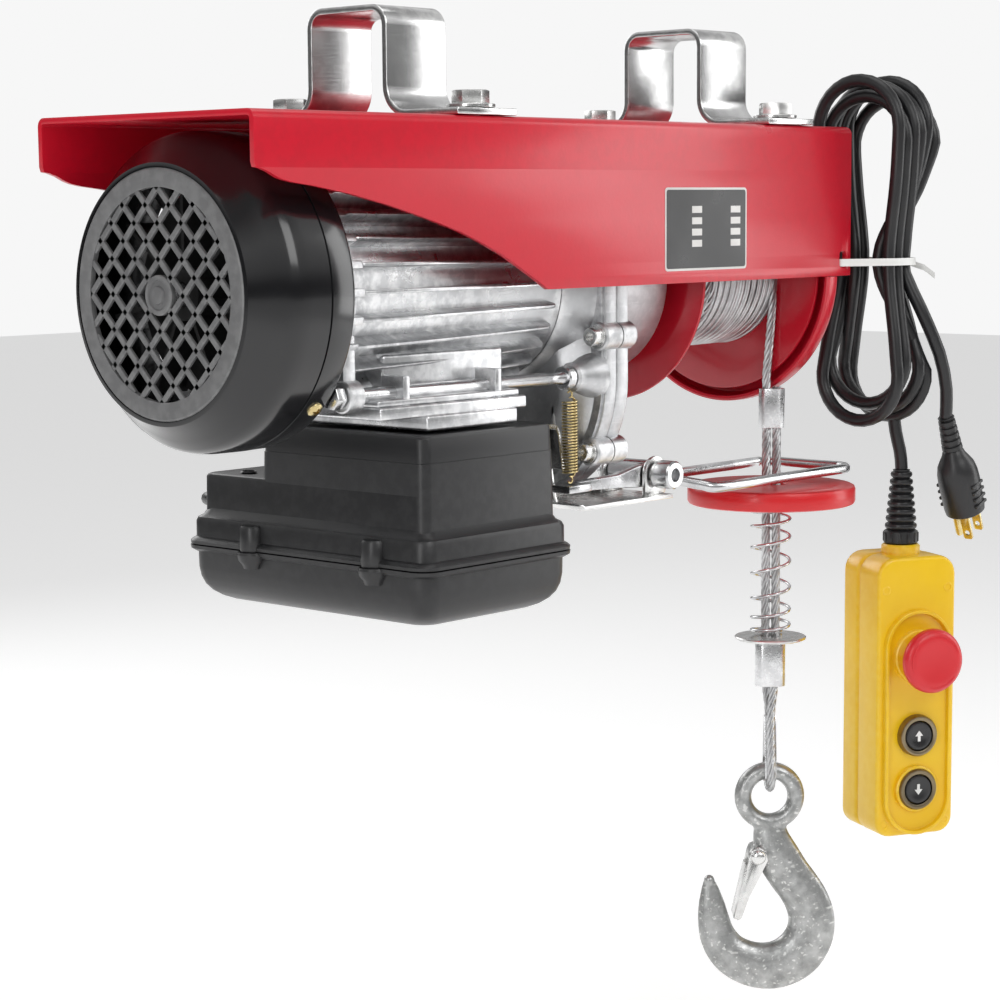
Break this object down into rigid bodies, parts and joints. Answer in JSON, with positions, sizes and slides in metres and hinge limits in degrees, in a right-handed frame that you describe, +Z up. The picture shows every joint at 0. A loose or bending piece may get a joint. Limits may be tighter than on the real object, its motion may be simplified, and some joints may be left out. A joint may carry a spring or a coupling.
{
  "type": "electric wire-rope hoist",
  "caption": "Beam-mounted electric wire-rope hoist: red channel frame, finned motor, gear case, rope drum, hook, limit arm, control box, coiled cords and yellow pendant.",
  "frame": {"origin": "centre of the frame plate's upper face, where the hoist is pulled up against its beam", "axes": "+Z up towards the beam, +X along the drive line from the motor's fan to the rope drum, -Y towards the side the rope hangs on"},
  "size_m": [0.5803, 0.2682, 0.5895],
  "materials": {
    "red_paint": "gloss red enamel",
    "zinc_plate": "bright zinc plate",
    "black_gloss_plastic": "glossy moulded black",
    "black_matt_plastic": "matt moulded black",
    "grey_plastic": "matt mid grey",
    "cast_aluminium": "as cast, lightly blasted",
    "ferrule_aluminium": "pressed, bright",
    "steel": "machined and oiled",
    "copper_winding": "varnished copper winding on a laminated core",
    "wire_rope": "galvanised strands",
    "brass_wire": "passivated spring wire",
    "forged_steel": "forged, galvanised, scuffed",
    "yellow_plastic": "satin moulded yellow",
    "black_rubber": "smooth black sheath",
    "white_nylon": "translucent white nylon"
  },
  "bodies": {
    "hoist": {"frame_channel": "red_paint", "drum_end_shield": "red_paint", "motor_end_bracket": "zinc_plate", "drum_end_bracket": "zinc_plate", "bracket_bolt_1": "zinc_plate", "bracket_bolt_2": "zinc_plate", "bracket_bolt_3": "zinc_plate", "bracket_bolt_4": "zinc_plate", "case_screw_1": "zinc_plate", "case_screw_2": "zinc_plate", "case_screw_3": "zinc_plate", "case_screw_4": "zinc_plate", "tie_rod_near": "zinc_plate", "tie_rod_far": "zinc_plate", "limit_bracket": "zinc_plate", "fan_cowl": "black_gloss_plastic", "control_box": "black_gloss_plastic", "control_box_lid": "black_gloss_plastic", "limit_switch": "black_gloss_plastic", "plug": "black_matt_plastic", "fan_grille": "grey_plastic", "capacitor": "grey_plastic", "motor_end_shield": "cast_aluminium", "motor_housing": "cast_aluminium", "gear_case": "cast_aluminium", "gear_cover": "cast_aluminium", "fan_end_bearing": "steel", "gear_end_bearing": "steel", "drum_end_bearing": "steel", "limit_pin": "steel", "stator": "copper_winding", "rope_fall": "wire_rope", "limit_spring": "brass_wire", "pendant_front": "yellow_plastic", "pendant_back": "yellow_plastic", "pendant_sleeve": "black_rubber", "power_cord": "black_rubber", "pendant_cable": "black_rubber", "cord_hank": "black_rubber", "pendant_cable_drop": "black_rubber", "cable_tie_near": "white_nylon", "cable_tie_far": "white_nylon"},
    "drum": {"rope_drum": "red_paint", "drum_gear": "steel", "rope_winding": "wire_rope"},
    "layshaft": {"layshaft_gear": "steel"},
    "rotor": {"rotor": "steel", "cooling_fan": "black_matt_plastic"},
    "load_line": {"upper_ferrule": "ferrule_aluminium", "rope_loop": "wire_rope", "buffer_spring": "steel", "buffer_washer": "zinc_plate", "lower_ferrule": "ferrule_aluminium"},
    "stop_weight": {"stop_weight": "red_paint"},
    "hook": {"lifting_hook": "forged_steel"},
    "latch": {"hook_latch": "zinc_plate"},
    "limit_arm": {"limit_arm": "zinc_plate"},
    "stop_button": {"stop_button": "red_paint"},
    "up_button": {"up_button": "black_gloss_plastic"},
    "down_button": {"down_button": "black_gloss_plastic"}
  },
  "joints": [
    {"name": "drum_spin", "type": "hinge", "parent": "hoist", "child": "drum", "pos_m": [0.16, 0, -0.0862], "axis": [1, 0, 0], "range_deg": [0, 350]},
    {"name": "layshaft_spin", "type": "hinge", "parent": "hoist", "child": "layshaft", "pos_m": [0.025, 0, -0.1402], "axis": [1, 0, 0], "range_deg": [-1751, 0]},
    {"name": "rotor_spin", "type": "hinge", "parent": "hoist", "child": "rotor", "pos_m": [-0.08, 0, -0.0862], "axis": [1, 0, 0], "range_deg": [0, 8751]},
    {"name": "hook_lift", "type": "slide", "parent": "hoist", "child": "load_line", "axis": [0, 0, -1], "range_m": [0, 0.251], "deforming": ["rope_fall"]},
    {"name": "stop_weight_slide", "type": "slide", "parent": "load_line", "child": "stop_weight", "axis": [0, 0, -1], "range_m": [0, 0.03], "stiffness_N_per_m": 600, "springref_m": -0.02, "deforming": ["buffer_spring"]},
    {"name": "hook_swing", "type": "hinge", "parent": "load_line", "child": "hook", "pos_m": [0.2131, -0.04105, -0.409], "axis": [0.7431, 0.6691, 0], "range_deg": [-30, 30]},
    {"name": "latch_pivot", "type": "hinge", "parent": "hook", "child": "latch", "pos_m": [0.20808, -0.03548, -0.4456], "axis": [-0.7431, -0.6691, 0], "range_deg": [0, 35], "stiffness_Nm_per_rad": 0.05, "springref_deg": -22.92},
    {"name": "limit_arm_pivot", "type": "hinge", "parent": "hoist", "child": "limit_arm", "pos_m": [0.084, -0.0375, -0.196], "axis": [0, -1, 0], "range_deg": [0, 5], "stiffness_Nm_per_rad": 1, "springref_deg": -8.59, "deforming": ["limit_spring"]},
    {"name": "stop_button_press", "type": "slide", "parent": "hoist", "child": "stop_button", "axis": [0.4695, 0.8829, 0], "range_m": [0, 0.004], "stiffness_N_per_m": 400, "springref_m": -0.004},
    {"name": "up_button_press", "type": "slide", "parent": "hoist", "child": "up_button", "axis": [0.4695, 0.8829, 0], "range_m": [0, 0.003], "stiffness_N_per_m": 300, "springref_m": -0.003},
    {"name": "down_button_press", "type": "slide", "parent": "hoist", "child": "down_button", "axis": [0.4695, 0.8829, 0], "range_m": [0, 0.003], "stiffness_N_per_m": 300, "springref_m": -0.003}
  ],
  "couplings": [
    {"joint": "layshaft_spin", "follows": "drum_spin", "ratio": -5},
    {"joint": "rotor_spin", "follows": "drum_spin", "ratio": 25},
    {"joint": "hook_lift", "follows": "drum_spin", "m_per_rad": 0.04105}
  ]
}
